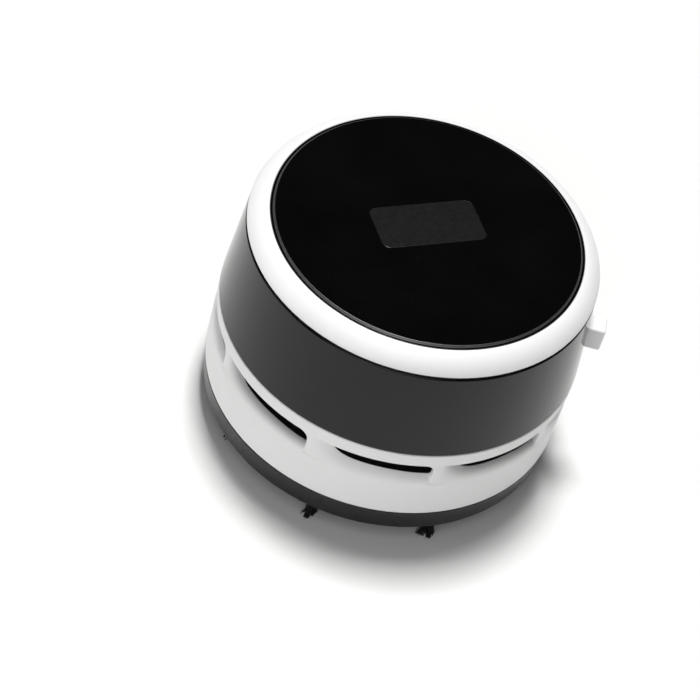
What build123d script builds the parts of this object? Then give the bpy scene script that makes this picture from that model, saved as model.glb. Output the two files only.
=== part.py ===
from build123d import *
import os
from math import cos, sin, radians

os.makedirs("parts", exist_ok=True)

# Desktop mini vacuum cleaner, free-standing on nine brush tufts.
# Millimetres. +Z up, origin on the body axis in the plane of the tuft tips.
# The side switch faces midway between +X and +Y, so the round body stays centred on the origin.

# ---------------------------------------------------------------- driving dimensions
FRAME_TURN = 45.0        # direction of the side switch, degrees from +X
BODY_R = 42.62           # widest radius, where shell and band meet
Z_RIM_BOT = 5.0          # underside of the tray rim
Z_RIM_TOP = 11.15        # shoulder that closes against the band
Z_BAND_TOP = 31.85       # joint of band and shell
Z_SHELL_TOP = 55.2
Z_RING_BOT = 55.9        # the lid gasket fills the gap below this
Z_TOP = 60.07
RIM_TOP_R = 42.5
SHELL_TOP_R = 40.5
SHELL_WALL = 1.8
BAND_IN_R = 41.0
RING_R = 40.45           # outside of the white lid ring
RING_BORE_R = 35.97
DISC_R = 35.9
DISC_STEP_R = 35.32      # the raised middle of the panel, inside a low lip
DISC_LIP = 59.98
DISC_TOP = 60.32

# exhaust scoops
SCOOP_COUNT = 9
SCOOP_END = -110.2       # angle of the first scoop's deep end
SCOOP_ARC = 38.3
SCOOP_TOP = 28.4
SCOOP_FOOT = 22.2
SCOOP_PROFILE = [(-2.0, -0.4), (0.0, 0.0), (4.0, 1.2), (8.6, 2.6), (12.0, 3.2), (16.0, 3.5), (20.0, 3.65), (26.0, 3.9), (32.0, 4.45), (38.3, 4.85)]

# brush tufts
TUFT_COUNT = 9
TUFT_START = -103.4
TUFT_PITCH_R = 38.9
TUFT_R = 1.5
TUFT_TIP_R = 2.1

# dust tray
CUP_OUT_R = 38.4
CUP_IN_R = 36.8
CUP_TOP = 19.0
FLOOR_BOT = 6.0
FLOOR_TOP = 7.6
INLET_R = 9.0
INLET_WALL = 1.4
INLET_TOP = 15.0
INLET_BOT = 5.2

# bayonets
LUG_ARC = 18.0
GATE_ARC = 24.0
TRAY_LEDGE = (38.9, 41.3, 12.2, 13.8)     # inner radius, outer radius, bottom, top
TRAY_LUG = (38.1, 40.4, 13.9, 15.4)
TRAY_GATES = (30.0, 150.0, 270.0)
LID_LEDGE = (37.3, 39.0, 52.4, 54.0)
LID_LUG = (36.5, 38.3, 50.7, 52.3)
LID_GATES = (60.0, 180.0, 300.0)

# fan
DECK_BOT = 30.2
DECK_TOP = 31.8
FAN_BASE_BOT = 20.2
FAN_BASE_TOP = 21.6
EYE_R = 14.0
IMPELLER_R = 29.5
BLADES = 11
SHAFT_R = 1.0
BUSH_BORE_R = 1.03

# AA cells, two, lying either side of the motor
CELL_R = 7.25
CELL_BODY = 49.5
CELL_NUB = 1.0
CELL_Y = 22.0
CELL_Z = 41.0
CONTACT_X = 27.6

# switch
KNOB_W = 4.8
KNOB_Z0, KNOB_Z1 = 38.1, 44.5
KNOB_X0, KNOB_X1 = 40.5, 45.6
SWITCH_TRAVEL = 3.5

# ---------------------------------------------------------------- planes in the turned frame
BASE = Plane(origin=(0, 0, 0), x_dir=(cos(radians(FRAME_TURN)), sin(radians(FRAME_TURN)), 0), z_dir=(0, 0, 1))


def level(h):
    # horizontal plane at height h, local x towards the switch
    return BASE.offset(h)


def pt(x, y, z):
    # a point given in the turned frame
    return BASE.from_local_coords(Vector(x, y, z))


def radial(angle):
    # vertical half plane through the body axis: local x is the radius, local y is the height
    a = radians(angle + FRAME_TURN)
    return Plane(origin=(0, 0, 0), x_dir=(cos(a), sin(a), 0), z_dir=(sin(a), -cos(a), 0))


def facing_x(x):
    # vertical plane across the turned x axis: local x is turned y, local y is the height
    return Plane(origin=pt(x, 0, 0), x_dir=pt(0, 1, 0), z_dir=pt(1, 0, 0))


def polar(r, angle):
    return (r * cos(radians(angle)), r * sin(radians(angle)))


SCREW_PHILLIPS = 0.5

# ================================================================ housing
# exhaust band: white ring wall with nine ramped scoops that break through it
with BuildPart() as exhaust_band:
    with BuildSketch(Plane.XZ):
        with BuildLine():
            Polyline((BAND_IN_R, Z_RIM_TOP), (RIM_TOP_R, Z_RIM_TOP), (BODY_R, Z_BAND_TOP), (BAND_IN_R, Z_BAND_TOP), close=True)
        make_face()
    revolve(axis=Axis.Z)
    for k in range(SCOOP_COUNT):
        end = SCOOP_END + 40.0 * k
        low = [polar(42.57 + 0.0877 * d + 0.15, end - SCOOP_ARC + t) for t, d in SCOOP_PROFILE]
        high = [polar(42.57 - d, end - SCOOP_ARC + t) for t, d in SCOOP_PROFILE]
        with BuildSketch(level(SCOOP_FOOT)):
            with BuildLine():
                Spline(*low)
                Line(low[-1], polar(46.0, end))
                Line(polar(46.0, end), polar(46.0, end - SCOOP_ARC - 2.0))
                Line(polar(46.0, end - SCOOP_ARC - 2.0), low[0])
            make_face()
        with BuildSketch(level(SCOOP_TOP)):
            with BuildLine():
                Spline(*high)
                Line(high[-1], polar(46.0, end))
                Line(polar(46.0, end), polar(46.0, end - SCOOP_ARC - 2.0))
                Line(polar(46.0, end - SCOOP_ARC - 2.0), high[0])
            make_face()
        loft(ruled=True, mode=Mode.SUBTRACT)
    # ledge that carries the motor deck
    with BuildSketch(Plane.XZ):
        with Locations((40.2, 29.4)):
            Rectangle(2.2, 1.6)
    revolve(axis=Axis.Z)
    # bayonet ledges for the dust tray, with a gate between them and a stop past each
    r0, r1, z0, z1 = TRAY_LEDGE
    for gate in TRAY_GATES:
        with BuildSketch(radial(gate + GATE_ARC / 2)):
            with Locations(((r0 + r1) / 2, (z0 + z1) / 2)):
                Rectangle(r1 - r0, z1 - z0)
        revolve(axis=Axis.Z, revolution_arc=120.0 - GATE_ARC)
        with BuildSketch(radial(gate + 33.8)):
            with Locations(((r0 + r1) / 2, 14.7)):
                Rectangle(r1 - r0, 2.0)
        revolve(axis=Axis.Z, revolution_arc=2.5)

# body shell: glossy black tapered wall
with BuildPart() as body_shell:
    with BuildSketch(facing_x(38.7)):
        with Locations((0, 43.0)):
            Rectangle(14.0, 19.0)
    extrude(amount=4.5)
    with BuildSketch(Plane.XZ):
        with BuildLine():
            Polyline((0, Z_BAND_TOP), (BODY_R - 0.3, Z_BAND_TOP), (SHELL_TOP_R - 0.3, Z_SHELL_TOP), (0, Z_SHELL_TOP), close=True)
        make_face()
    revolve(axis=Axis.Z, mode=Mode.INTERSECT)
    with BuildSketch(Plane.XZ):
        with BuildLine():
            Polyline((BODY_R - SHELL_WALL, Z_BAND_TOP), (BODY_R, Z_BAND_TOP), (SHELL_TOP_R, Z_SHELL_TOP), (SHELL_TOP_R - SHELL_WALL, Z_SHELL_TOP), close=True)
        make_face()
    revolve(axis=Axis.Z)
    # four screw bosses with webs to the wall
    for ang in (70.0, 110.0, 250.0, 290.0):
        with BuildSketch(level(DECK_TOP)):
            with Locations(polar(36.6, ang)):
                Circle(2.6)
            with Locations(Location(polar(39.0, ang) + (0,), (0, 0, ang))):
                Rectangle(3.6, 1.6)
        extrude(amount=7.2)
    with BuildSketch(level(DECK_TOP)):
        with Locations(*[polar(36.6, a) for a in (70.0, 110.0, 250.0, 290.0)]):
            Circle(0.95)
    extrude(amount=5.6, mode=Mode.SUBTRACT)
    # trim what stands below the joint with the band
    with BuildSketch(level(Z_BAND_TOP)):
        Circle(60.0)
        Circle(40.55, mode=Mode.SUBTRACT)
    extrude(amount=-2.0, mode=Mode.SUBTRACT)
    # flat pocket and slot for the slide switch
    with BuildSketch(facing_x(40.2)):
        with Locations((0, 43.05)):
            RectangleRounded(KNOB_W + 1.2, 11.3, 1.0)
    extrude(amount=8.0, mode=Mode.SUBTRACT)
    with BuildSketch(facing_x(38.0)):
        with Locations((0, 41.95)):
            RectangleRounded(3.4, 7.2, 0.4)
    extrude(amount=4.0, mode=Mode.SUBTRACT)
    # pilot holes for the switch screws
    with BuildSketch(facing_x(38.6)):
        with Locations((0, 34.9), (0, 48.7)):
            Circle(0.6)
    extrude(amount=1.1, mode=Mode.SUBTRACT)
    # bayonet ledges for the lid
    r0, r1, z0, z1 = LID_LEDGE
    for gate in LID_GATES:
        with BuildSketch(radial(gate + GATE_ARC / 2)):
            with Locations(((r0 + r1) / 2, (z0 + z1) / 2)):
                Rectangle(r1 - r0, z1 - z0)
        revolve(axis=Axis.Z, revolution_arc=120.0 - GATE_ARC)
        with BuildSketch(radial(gate - 33.8 - 2.5)):
            with Locations(((r0 + r1) / 2, 51.6)):
                Rectangle(r1 - r0, 1.8)
        revolve(axis=Axis.Z, revolution_arc=2.5)

# motor deck: the floor of the motor space and roof of the fan space
POSTS = (0.0, 120.0, 240.0)
with BuildPart() as motor_deck:
    with BuildSketch(level(DECK_BOT)):
        Circle(40.4)
    extrude(amount=DECK_TOP - DECK_BOT)
    with BuildSketch(level(FAN_BASE_TOP)):
        with Locations(*[polar(35.5, a) for a in POSTS]):
            Circle(2.4)
    extrude(amount=DECK_BOT - FAN_BASE_TOP)
    with BuildSketch(level(FAN_BASE_TOP)):
        with Locations(*[polar(35.5, a) for a in POSTS]):
            Circle(0.95)
    extrude(amount=6.0, mode=Mode.SUBTRACT)
    with BuildSketch(level(DECK_BOT)):
        Circle(3.4)
        with Locations(*[polar(36.6, a) for a in (70.0, 110.0, 250.0, 290.0)]):
            Circle(1.2)
        with Locations((0, 7.0), (0, -7.0)):
            Circle(0.9)
    extrude(amount=DECK_TOP - DECK_BOT, mode=Mode.SUBTRACT)
    with BuildSketch(level(DECK_BOT)):
        with Locations((0, 7.0), (0, -7.0)):
            Circle(1.9)
    extrude(amount=1.0, mode=Mode.SUBTRACT)
    # stiffening ring on the underside, outside the impeller
    with BuildSketch(Plane.XZ):
        with Locations((31.6, 29.7)):
            Rectangle(1.2, 1.0)
    revolve(axis=Axis.Z)

# fan base: plate under the impeller with the suction eye and the filter collar
with BuildPart() as fan_base:
    with BuildSketch(Plane.XZ):
        with BuildLine():
            Polyline((EYE_R, FAN_BASE_BOT), (32.9, FAN_BASE_BOT), (32.9, 18.2), (33.7, 18.2), (33.7, FAN_BASE_BOT),
                     (40.4, FAN_BASE_BOT), (40.4, FAN_BASE_TOP), (EYE_R + 1.4, FAN_BASE_TOP), (EYE_R + 1.4, 22.2), (EYE_R, 22.2), close=True)
        make_face()
    revolve(axis=Axis.Z)
    with BuildSketch(level(FAN_BASE_BOT)):
        with Locations(*[polar(35.5, a) for a in POSTS]):
            Circle(1.0)
    extrude(amount=FAN_BASE_TOP - FAN_BASE_BOT, mode=Mode.SUBTRACT)

# screws up through the fan base into the deck posts
with BuildPart() as fan_base_screws:
    with BuildSketch(level(FAN_BASE_BOT)):
        with Locations(*[polar(35.5, a) for a in POSTS]):
            Circle(1.6)
    extrude(amount=-1.0)
    with BuildSketch(level(FAN_BASE_BOT)):
        with Locations(*[polar(35.5, a) for a in POSTS]):
            Circle(0.95)
    extrude(amount=6.4)
    with BuildSketch(level(FAN_BASE_BOT - 1.0)):
        with Locations(*[polar(35.5, a) for a in POSTS]):
            Rectangle(1.9, 0.4)
            Rectangle(0.4, 1.9)
    extrude(amount=SCREW_PHILLIPS, mode=Mode.SUBTRACT)

# screws up through the deck into the shell bosses
SHELL_SCREWS = [polar(36.6, a) for a in (70.0, 110.0, 250.0, 290.0)]
with BuildPart() as shell_screws:
    with BuildSketch(level(DECK_BOT)):
        with Locations(*SHELL_SCREWS):
            Circle(1.9)
    extrude(amount=-1.3)
    with BuildSketch(level(DECK_BOT)):
        with Locations(*SHELL_SCREWS):
            Circle(0.95)
    extrude(amount=6.6)
    with BuildSketch(level(DECK_BOT - 1.3)):
        with Locations(*SHELL_SCREWS):
            Rectangle(2.4, 0.45)
            Rectangle(0.45, 2.4)
    extrude(amount=0.7, mode=Mode.SUBTRACT)

# filter: a frame that clips into the fan base collar, and the non-woven disc it holds
with BuildPart() as filter_frame:
    with BuildSketch(Plane.XZ):
        with BuildLine():
            Polyline((30.3, 17.4), (32.9, 17.4), (32.9, 20.2), (31.3, 20.2), (31.3, 18.6), (30.3, 18.6), close=True)
        make_face()
    revolve(axis=Axis.Z)
    with BuildSketch(level(17.4)):
        Rectangle(61.6, 1.6)
        Rectangle(1.6, 61.6)
        Circle(4.0)
        Circle(18.0)
        Circle(16.6, mode=Mode.SUBTRACT)
        Circle(4.0)
        with Locations((0, 10.3), (0, -10.3)):
            Rectangle(1.6, 13.0)
        with Locations((10.3, 0), (-10.3, 0)):
            Rectangle(13.0, 1.6)
    extrude(amount=1.2)

with BuildPart() as filter_media:
    with BuildSketch(level(18.6)):
        Circle(31.3)
    extrude(amount=1.2)

# ---------------------------------------------------------------- motor
with BuildPart() as motor_can:
    with BuildSketch(Plane.XZ):
        with BuildLine():
            Polyline((2.4, DECK_TOP), (12.0, DECK_TOP), (12.0, 51.8), (11.2, 51.8), (11.2, 32.6), (3.4, 32.6), (3.4, 34.8), (2.4, 34.8), close=True)
        make_face()
    revolve(axis=Axis.Z)
    fillet(motor_can.edges().filter_by(GeomType.CIRCLE).filter_by_position(Axis.Z, DECK_TOP - 0.01, DECK_TOP + 0.01).sort_by(SortBy.RADIUS)[-1], radius=1.0)
    with BuildSketch(level(DECK_TOP)):
        with Locations((0, 7.0), (0, -7.0)):
            Circle(0.85)
    extrude(amount=1.0, mode=Mode.SUBTRACT)

with BuildPart() as motor_screws:
    with BuildSketch(level(DECK_BOT + 0.1)):
        with Locations((0, 7.0), (0, -7.0)):
            Circle(1.7)
    extrude(amount=0.9)
    with BuildSketch(level(DECK_BOT + 1.0)):
        with Locations((0, 7.0), (0, -7.0)):
            Circle(0.85)
    extrude(amount=2.2)
    with BuildSketch(level(DECK_BOT + 0.1)):
        with Locations((0, 7.0), (0, -7.0)):
            Rectangle(2.0, 0.4)
            Rectangle(0.4, 2.0)
    extrude(amount=0.45, mode=Mode.SUBTRACT)

with BuildPart() as motor_magnets:
    for a in (25.0, 205.0):
        with BuildSketch(radial(a)):
            with Locations((9.9, 41.5)):
                Rectangle(2.6, 12.0)
        revolve(axis=Axis.Z, revolution_arc=130.0)

with BuildPart() as bearing_lower:
    with BuildSketch(level(DECK_TOP + 0.1)):
        Circle(2.4)
        Circle(BUSH_BORE_R, mode=Mode.SUBTRACT)
    extrude(amount=2.8)

with BuildPart() as bearing_upper:
    with BuildSketch(level(52.0)):
        Circle(2.4)
        Circle(BUSH_BORE_R, mode=Mode.SUBTRACT)
    extrude(amount=2.6)

with BuildPart() as motor_end_cap:
    with BuildSketch(Plane.XZ):
        with BuildLine():
            Polyline((2.4, 51.2), (3.8, 51.2), (3.8, 51.8), (9.6, 51.8), (9.6, 50.2), (11.2, 50.2), (11.2, 51.8), (12.0, 51.8), (12.0, 53.4),
                     (3.8, 53.4), (3.8, 55.2), (1.3, 55.2), (1.3, 54.6), (2.4, 54.6), close=True)
        make_face()
    revolve(axis=Axis.Z)

with BuildPart() as motor_terminals:
    for s in (1, -1):
        with BuildSketch(level(53.4)):
            with Locations((s * 8.0, 0)):
                Rectangle(0.5, 2.4)
        extrude(amount=2.8)

# carbon brushes on their spring leaves, held under the end cap
with BuildPart() as motor_brushes:
    for s in (1, -1):
        with BuildSketch(level(47.6)):
            with Locations((s * 3.35, 0)):
                Rectangle(1.2, 2.0)
        extrude(amount=2.2)
        with BuildSketch(level(46.9)):
            with Locations((s * 4.1, 0)):
                Rectangle(0.3, 2.0)
        extrude(amount=4.9)

# ---------------------------------------------------------------- rotor
with BuildPart() as motor_shaft:
    with BuildSketch(level(22.6)):
        Circle(SHAFT_R)
    extrude(amount=32.3)
    chamfer(motor_shaft.edges().group_by(Axis.Z)[-1], length=0.25)

with BuildPart() as armature_core:
    with BuildSketch(level(37.0)):
        Circle(3.0)
        Circle(SHAFT_R, mode=Mode.SUBTRACT)
    extrude(amount=8.0)
    for a in (0.0, 120.0, 240.0):
        with BuildSketch(Plane(origin=pt(0, 0, 37.0), x_dir=pt(cos(radians(a)), sin(radians(a)), 0), z_dir=(0, 0, 1))):
            with Locations((4.9, 0)):
                Rectangle(4.6, 2.6)
        extrude(amount=8.0)
        with BuildSketch(radial(a - 42.0)):
            with Locations((7.4, 41.0)):
                Rectangle(1.2, 8.0)
        revolve(axis=Axis.Z, revolution_arc=84.0)

with BuildPart() as armature_windings:
    for a in (0.0, 120.0, 240.0):
        turned = Plane(origin=pt(0, 0, 35.6), x_dir=pt(cos(radians(a)), sin(radians(a)), 0), z_dir=(0, 0, 1))
        with BuildSketch(turned):
            with Locations((4.65, 0)):
                RectangleRounded(2.3, 6.2, 0.9)
        extrude(amount=10.8)
        with BuildSketch(turned.offset(1.4)):
            with Locations((5.0, 0)):
                Rectangle(3.6, 2.6)
        extrude(amount=8.0, mode=Mode.SUBTRACT)

with BuildPart() as commutator:
    with BuildSketch(level(46.8)):
        Circle(2.6)
        Circle(SHAFT_R, mode=Mode.SUBTRACT)
    extrude(amount=3.5)
    for a in (60.0, 180.0, 300.0):
        with BuildSketch(Plane(origin=pt(0, 0, 47.2), x_dir=pt(cos(radians(a)), sin(radians(a)), 0), z_dir=(0, 0, 1))):
            with Locations((2.5, 0)):
                Rectangle(0.8, 0.35)
        extrude(amount=3.2, mode=Mode.SUBTRACT)

# impeller: backward-curved blades hanging from a top plate; it turns clockwise seen from above
with BuildPart() as impeller:
    with BuildSketch(level(28.3)):
        Circle(IMPELLER_R)
    extrude(amount=1.0)
    with BuildSketch(level(22.6)):
        Circle(4.0)
    extrude(amount=5.7)
    for k in range(BLADES):
        a = 360.0 / BLADES * k
        lead = [polar(r, a + s) for r, s in ((7.0, 0.0), (14.0, 9.0), (22.0, 24.0), (28.9, 42.0))]
        trail = [polar(r, a + s) for r, s in ((28.9, 44.2), (22.0, 26.6), (14.0, 13.0), (7.0, 8.0))]
        with BuildSketch(level(23.2)):
            with BuildLine():
                Spline(*lead)
                Line(lead[-1], trail[0])
                Spline(*trail)
                Line(trail[-1], lead[0])
            make_face()
        extrude(amount=5.1)
    with BuildSketch(level(22.6)):
        Circle(SHAFT_R)
    extrude(amount=7.0, mode=Mode.SUBTRACT)

# ---------------------------------------------------------------- batteries
with BuildPart() as aa_cells:
    with BuildSketch(facing_x(-25.25)):
        with Locations((CELL_Y, CELL_Z)):
            Circle(CELL_R)
    extrude(amount=CELL_BODY)
    with BuildSketch(facing_x(24.25)):
        with Locations((CELL_Y, CELL_Z)):
            Circle(2.75)
    extrude(amount=CELL_NUB)
    with BuildSketch(facing_x(25.25)):
        with Locations((-CELL_Y, CELL_Z)):
            Circle(CELL_R)
    extrude(amount=-CELL_BODY)
    with BuildSketch(facing_x(-24.25)):
        with Locations((-CELL_Y, CELL_Z)):
            Circle(2.75)
    extrude(amount=-CELL_NUB)
    fillet(aa_cells.edges().filter_by(GeomType.CIRCLE).filter_by(lambda e: abs(e.radius - CELL_R) < 0.01), radius=0.5)

with BuildPart() as battery_cradles:
    for x in (-16.0, 13.0):
        with BuildSketch(facing_x(x)):
            with Locations((CELL_Y, 34.9), (-CELL_Y, 34.9)):
                Rectangle(15.0, 6.2)
            with Locations((CELL_Y, CELL_Z), (-CELL_Y, CELL_Z)):
                Circle(CELL_R + 0.05, mode=Mode.SUBTRACT)
        extrude(amount=3.0)

with BuildPart() as contact_holders:
    for x, d in ((CONTACT_X + 0.5, 1.8), (-CONTACT_X - 0.5, -1.8)):
        with BuildSketch(facing_x(x)):
            with Locations((CELL_Y, 38.9), (-CELL_Y, 38.9)):
                Rectangle(5.0, 14.2)
        extrude(amount=d)

# positive contact: plate, dimple and solder tab
with BuildPart() as contact_positive:
    with BuildSketch(facing_x(CONTACT_X)):
        with Locations((CELL_Y, 41.5)):
            Rectangle(9.0, 12.0)
        with Locations((16.0, 42.5)):
            Rectangle(4.0, 3.0)
    extrude(amount=0.5)
    with BuildSketch(facing_x(CONTACT_X)):
        with Locations((CELL_Y, CELL_Z)):
            Circle(2.4)
    extrude(amount=-(CONTACT_X - 25.25), taper=12)

with BuildPart() as contact_negative:
    with BuildSketch(facing_x(CONTACT_X)):
        with Locations((-CELL_Y, 41.5)):
            Rectangle(9.0, 12.0)
        with Locations((-16.0, 42.5)):
            Rectangle(4.0, 3.0)
    extrude(amount=0.5)

with BuildPart() as contact_bridge:
    with BuildSketch(facing_x(-CONTACT_X)):
        with Locations((0, 41.5)):
            Rectangle(53.0, 10.0)
    extrude(amount=-0.5)
    with BuildSketch(facing_x(-CONTACT_X)):
        with Locations((-CELL_Y, CELL_Z)):
            Circle(2.4)
    extrude(amount=CONTACT_X - 25.25, taper=12)

# conical coil springs at the cells' negative ends
with BuildPart() as battery_springs:
    for sx, sy in ((-1, 1), (1, -1)):
        with BuildLine():
            coil = Helix(pitch=0.75, height=1.65, radius=3.5, center=pt(sx * (CONTACT_X - 0.35), sy * CELL_Y, CELL_Z), direction=pt(-sx, 0, 0), cone_angle=-28)
        with BuildSketch(Plane(origin=coil @ 0, z_dir=coil % 0)):
            Circle(0.28)
        sweep(is_frenet=True)

# ---------------------------------------------------------------- switch
with BuildPart() as switch_body:
    with BuildSketch(facing_x(33.6)):
        with Locations((0, 41.8)):
            Rectangle(9.2, 11.2)
    extrude(amount=5.1)
    with BuildSketch(facing_x(37.7)):
        with Locations((0, 41.8)):
            Rectangle(5.6, 16.6)
    extrude(amount=1.0)
    with BuildSketch(facing_x(35.2)):
        with Locations((0, 42.0)):
            Rectangle(5.4, 9.4)
    extrude(amount=4.0, mode=Mode.SUBTRACT)
    with BuildSketch(facing_x(37.0)):
        with Locations((0, 34.9), (0, 48.7)):
            Circle(0.7)
    extrude(amount=3.0, mode=Mode.SUBTRACT)

with BuildPart() as switch_terminals:
    with BuildSketch(facing_x(30.6)):
        with Locations((0, 39.2), (0, 44.4)):
            Rectangle(0.5, 2.2)
    extrude(amount=3.0)

with BuildPart() as switch_screws:
    with BuildSketch(facing_x(37.7)):
        with Locations((0, 34.9), (0, 48.7)):
            Circle(1.15)
    extrude(amount=-0.8)
    with BuildSketch(facing_x(37.7)):
        with Locations((0, 34.9), (0, 48.7)):
            Circle(0.6)
    extrude(amount=1.9)
    with BuildSketch(facing_x(36.9)):
        with Locations((0, 34.9), (0, 48.7)):
            Rectangle(1.4, 0.3)
            Rectangle(0.3, 1.4)
    extrude(amount=0.35, mode=Mode.SUBTRACT)

# slider inside the switch, with the stem that carries the knob
with BuildPart() as switch_slider:
    with BuildSketch(facing_x(35.6)):
        with Locations((0, 40.1)):
            Rectangle(4.8, 5.0)
    extrude(amount=2.6)
    with BuildSketch(facing_x(38.2)):
        with Locations((0, 40.2)):
            RectangleRounded(2.8, 3.0, 0.4)
    extrude(amount=4.3)

# knob: rounded cap with cross grooves for the thumb
with BuildPart() as switch_knob:
    with BuildSketch(facing_x(KNOB_X0)):
        with Locations((0, (KNOB_Z0 + KNOB_Z1) / 2)):
            RectangleRounded(KNOB_W, KNOB_Z1 - KNOB_Z0, 0.6)
    extrude(amount=KNOB_X1 - KNOB_X0)
    fillet(switch_knob.faces().sort_by(Axis(origin=(0, 0, 0), direction=tuple(pt(1, 0, 0))))[-1].edges(), radius=0.45)
    with BuildSketch(facing_x(KNOB_X1 - 0.45)):
        with Locations(*[(0, (KNOB_Z0 + KNOB_Z1) / 2 + d) for d in (-1.6, 0.0, 1.6)]):
            Rectangle(3.0, 0.7)
    extrude(amount=2.0, mode=Mode.SUBTRACT)
    with BuildSketch(facing_x(KNOB_X0)):
        with Locations((0, 40.2)):
            RectangleRounded(2.8, 3.0, 0.4)
    extrude(amount=2.0, mode=Mode.SUBTRACT)

# ---------------------------------------------------------------- leads, 1.1 mm over the insulation
LEAD_R = 0.55
with BuildPart() as lead_battery_switch:
    with BuildLine() as path_a:
        FilletPolyline(pt(28.15, 16.0, 42.5), pt(32.1, 16.0, 42.5), pt(32.1, 0.35, 44.2), radius=3.5)
    with BuildSketch(Plane(origin=path_a.line @ 0, z_dir=path_a.line % 0)):
        Circle(LEAD_R)
    sweep()

with BuildPart() as lead_switch_motor:
    with BuildLine() as path_b:
        FilletPolyline(pt(32.0, -0.35, 39.2), pt(32.0, -8.0, 39.2), pt(32.0, -8.0, 55.0), pt(8.4, -0.2, 55.0), radius=3.5)
    with BuildSketch(Plane(origin=path_b.line @ 0, z_dir=path_b.line % 0)):
        Circle(LEAD_R)
    sweep()

with BuildPart() as lead_battery_motor:
    with BuildLine() as path_c:
        FilletPolyline(pt(27.85, -16.0, 44.1), pt(27.85, -16.0, 55.0), pt(-2.0, -10.5, 55.0), pt(-8.0, -1.4, 55.0), radius=4.0)
    with BuildSketch(Plane(origin=path_c.line @ 0, z_dir=path_c.line % 0)):
        Circle(LEAD_R)
    sweep()

# ================================================================ dust tray
with BuildPart() as dust_tray:
    with BuildSketch(Plane.XZ):
        with BuildLine():
            Line((36.4, Z_RIM_BOT), (40.6, Z_RIM_BOT))
            RadiusArc((40.6, Z_RIM_BOT), (42.05, 6.5), -1.75)
            Polyline((42.05, 6.5), (RIM_TOP_R, Z_RIM_TOP), (CUP_OUT_R, Z_RIM_TOP), (CUP_OUT_R, CUP_TOP), (CUP_IN_R, CUP_TOP), (CUP_IN_R, FLOOR_TOP),
                     (INLET_R + INLET_WALL, FLOOR_TOP), (INLET_R + INLET_WALL, INLET_TOP), (INLET_R, INLET_TOP), (INLET_R, INLET_BOT),
                     (INLET_R + INLET_WALL, INLET_BOT), (INLET_R + INLET_WALL, FLOOR_BOT), (35.6, FLOOR_BOT), (36.4, Z_RIM_BOT))
        make_face()
    revolve(axis=Axis.Z)
    with BuildSketch(level(Z_RIM_BOT)):
        with PolarLocations(TUFT_PITCH_R, TUFT_COUNT, start_angle=TUFT_START):
            Circle(TUFT_R)
    extrude(amount=4.0, mode=Mode.SUBTRACT)
    r0, r1, z0, z1 = TRAY_LUG
    for gate in TRAY_GATES:
        with BuildSketch(radial(gate - LUG_ARC / 2)):
            with Locations(((r0 + r1) / 2, (z0 + z1) / 2)):
                Rectangle(r1 - r0, z1 - z0)
        revolve(axis=Axis.Z, revolution_arc=LUG_ARC)

with BuildPart() as brush_tufts:
    with BuildSketch(level(Z_RIM_BOT)):
        with PolarLocations(TUFT_PITCH_R, TUFT_COUNT, start_angle=TUFT_START):
            Circle(TUFT_R)
    extrude(amount=4.0)
    with BuildSketch(level(0)):
        with PolarLocations(TUFT_PITCH_R, TUFT_COUNT, start_angle=TUFT_START):
            Circle(TUFT_TIP_R)
    extrude(amount=Z_RIM_BOT, taper=6.843)

with BuildPart() as tray_seal:
    with BuildSketch(Plane.XZ):
        with Locations((39.7, 11.65)):
            Rectangle(2.0, 1.0)
    revolve(axis=Axis.Z)

# ================================================================ lid
with BuildPart() as lid_gasket:
    with BuildSketch(Plane.XZ):
        with Locations((38.8, (Z_SHELL_TOP + Z_RING_BOT) / 2)):
            Rectangle(2.8, Z_RING_BOT - Z_SHELL_TOP)
    revolve(axis=Axis.Z)

with BuildPart() as lid_frame:
    with BuildSketch(Plane.XZ):
        with BuildLine():
            Polyline((0, 56.9), (35.7, 56.9), (35.7, 50.5), (36.9, 50.5), (36.9, 58.4), (0, 58.4), close=True)
        make_face()
    revolve(axis=Axis.Z)
    r0, r1, z0, z1 = LID_LUG
    for gate in LID_GATES:
        with BuildSketch(radial(gate - LUG_ARC / 2)):
            with Locations(((r0 + r1) / 2, (z0 + z1) / 2)):
                Rectangle(r1 - r0, z1 - z0)
        revolve(axis=Axis.Z, revolution_arc=LUG_ARC)

with BuildPart() as lid_ring:
    with BuildSketch(Plane.XZ):
        with BuildLine():
            Polyline((36.9, Z_RING_BOT), (RING_R - 0.25, Z_RING_BOT), (RING_R, Z_RING_BOT + 0.25))
            RadiusArc((RING_R, Z_RING_BOT + 0.25), (RING_BORE_R + 0.15, Z_TOP), -6.22)
            Polyline((RING_BORE_R + 0.15, Z_TOP), (RING_BORE_R, Z_TOP - 0.2), (RING_BORE_R, 58.4), (36.9, 58.4), (36.9, Z_RING_BOT))
        make_face()
    revolve(axis=Axis.Z)

LABEL_W, LABEL_H, LABEL_TURN = 25.0, 12.3, 27.0
LABEL_X, LABEL_Y = -0.43, 0.84
with BuildPart() as lid_disc:
    rise = DISC_TOP - DISC_LIP
    with BuildSketch(Plane.XZ):
        with BuildLine():
            Polyline((0, 58.4), (DISC_R, 58.4), (DISC_R, DISC_LIP - 0.05), (DISC_R - 0.05, DISC_LIP), (DISC_STEP_R, DISC_LIP),
                     (DISC_STEP_R - rise, DISC_TOP), (0, DISC_TOP), close=True)
        make_face()
    revolve(axis=Axis.Z)
    with BuildSketch(level(DISC_TOP)):
        with Locations(Location((LABEL_X, LABEL_Y, 0), (0, 0, LABEL_TURN))):
            RectangleRounded(LABEL_W, LABEL_H, 1.8)
    extrude(amount=-0.3, mode=Mode.SUBTRACT)

with BuildPart() as label_plate:
    with BuildSketch(level(DISC_TOP - 0.3)):
        with Locations(Location((LABEL_X, LABEL_Y, 0), (0, 0, LABEL_TURN))):
            RectangleRounded(LABEL_W, LABEL_H, 1.8)
    extrude(amount=0.35)

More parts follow.
